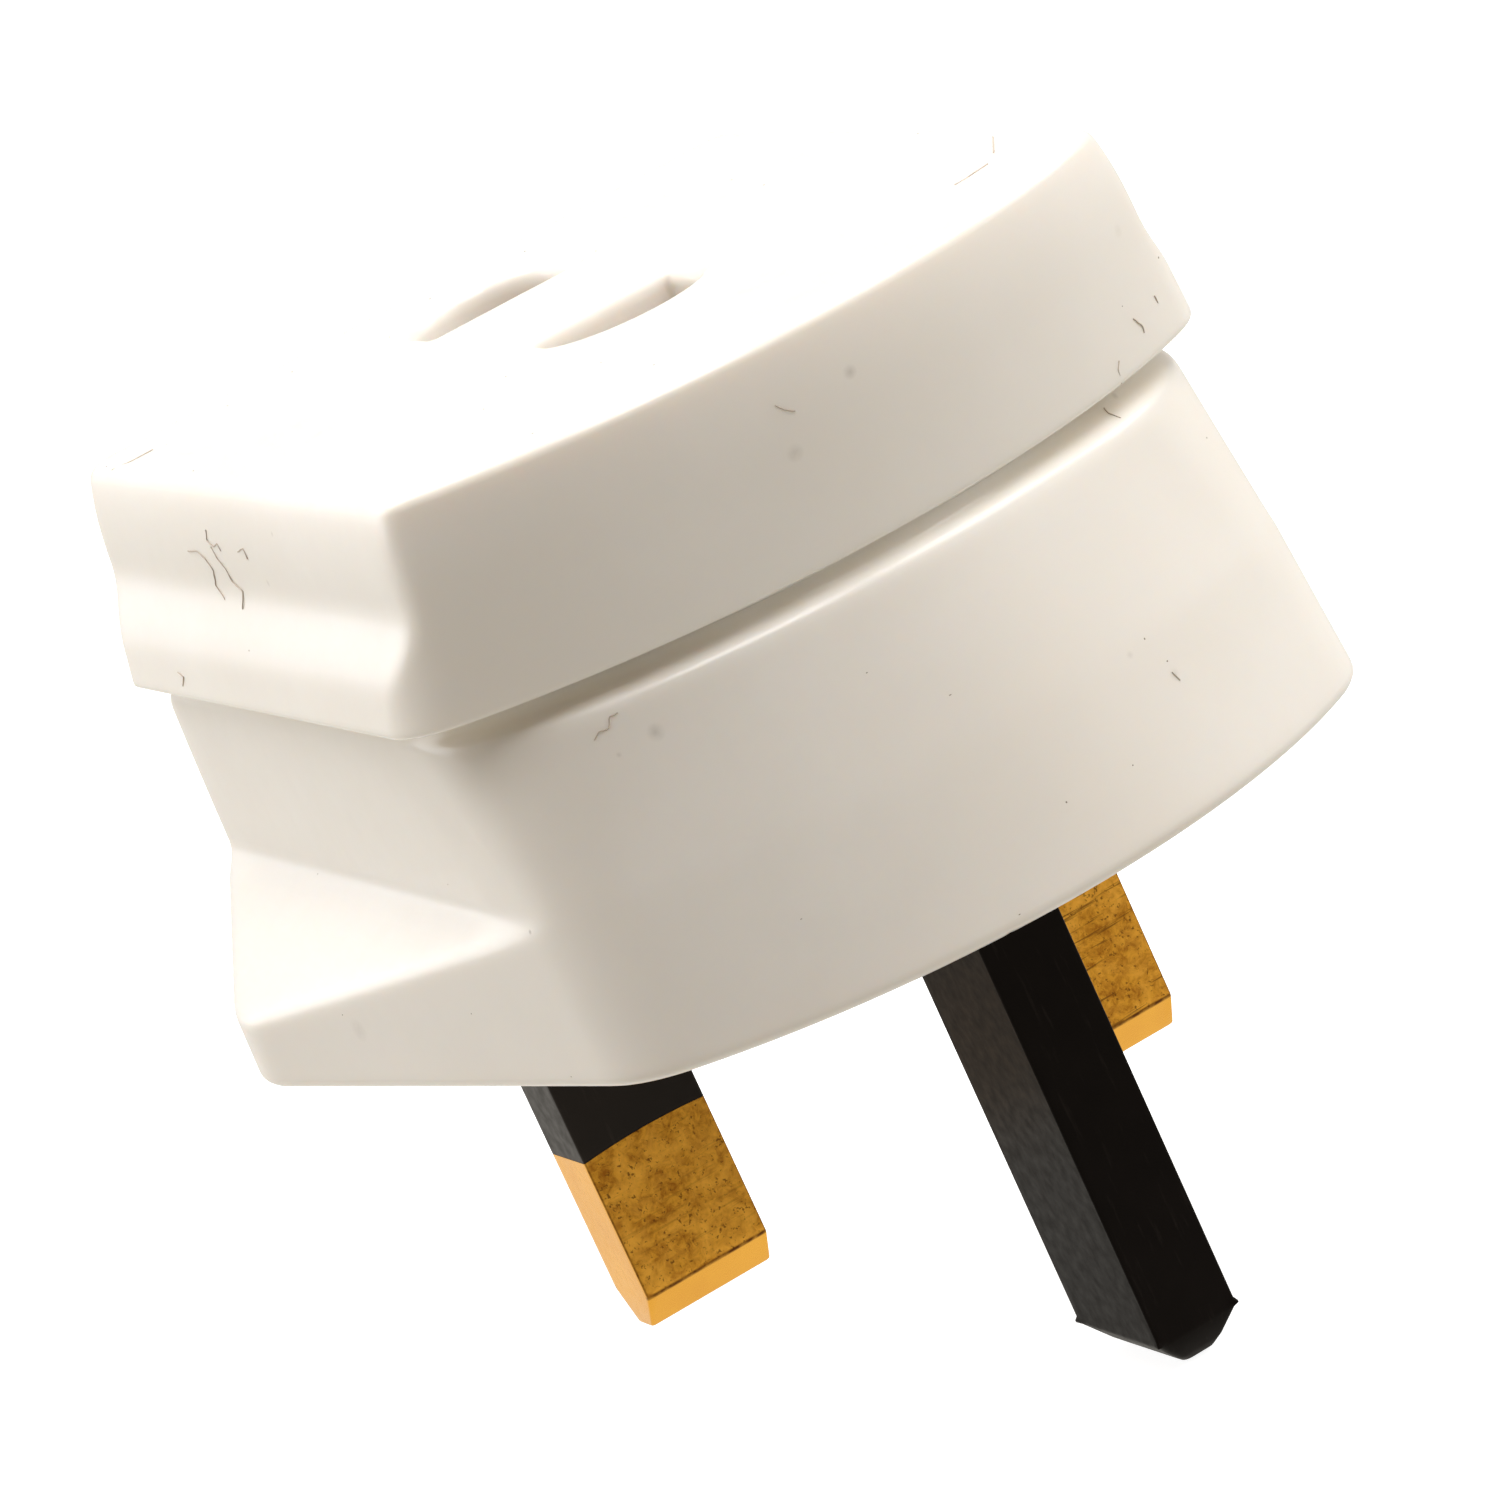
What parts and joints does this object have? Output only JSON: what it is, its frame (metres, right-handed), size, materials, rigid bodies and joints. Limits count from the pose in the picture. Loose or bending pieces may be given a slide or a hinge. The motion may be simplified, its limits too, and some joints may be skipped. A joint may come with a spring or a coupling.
{
  "type": "shaver adapter plug",
  "caption": "Adapter plug with flat mains pins below and a slotted shaver socket on top.",
  "frame": {"origin": "middle of the line between the centres of the two current pins, on the pin face, which rests on the wall socket's face", "axes": "+X from the live pin to the neutral pin, -Y towards the earth pin, +Z towards the shaver socket's face; the pins point along -Z"},
  "size_m": [0.0496, 0.0484, 0.0491],
  "materials": {
    "white_body": "satin warm white, moulded, lightly scuffed",
    "pin_brass": "drawn brass, patinated on the broad faces",
    "black_insulation": "satin black",
    "spring_brass": "stamped strip",
    "fuse_ceramic": "unglazed off-white",
    "plated_cap": "nickel-plated, slightly dull",
    "screw_steel": "zinc-plated"
  },
  "bodies": {
    "root": {"base": "white_body", "cover": "white_body", "pin_live": "pin_brass", "pin_neutral": "pin_brass", "sleeve_live": "black_insulation", "sleeve_neutral": "black_insulation", "earth_pin": "black_insulation", "contact_live": "spring_brass", "contact_neutral": "spring_brass", "clip_live": "spring_brass", "clip_load": "spring_brass", "fuse_tube": "fuse_ceramic", "fuse_cap_live": "plated_cap", "fuse_cap_load": "plated_cap", "cover_screw": "screw_steel"}
  },
  "joints": []
}
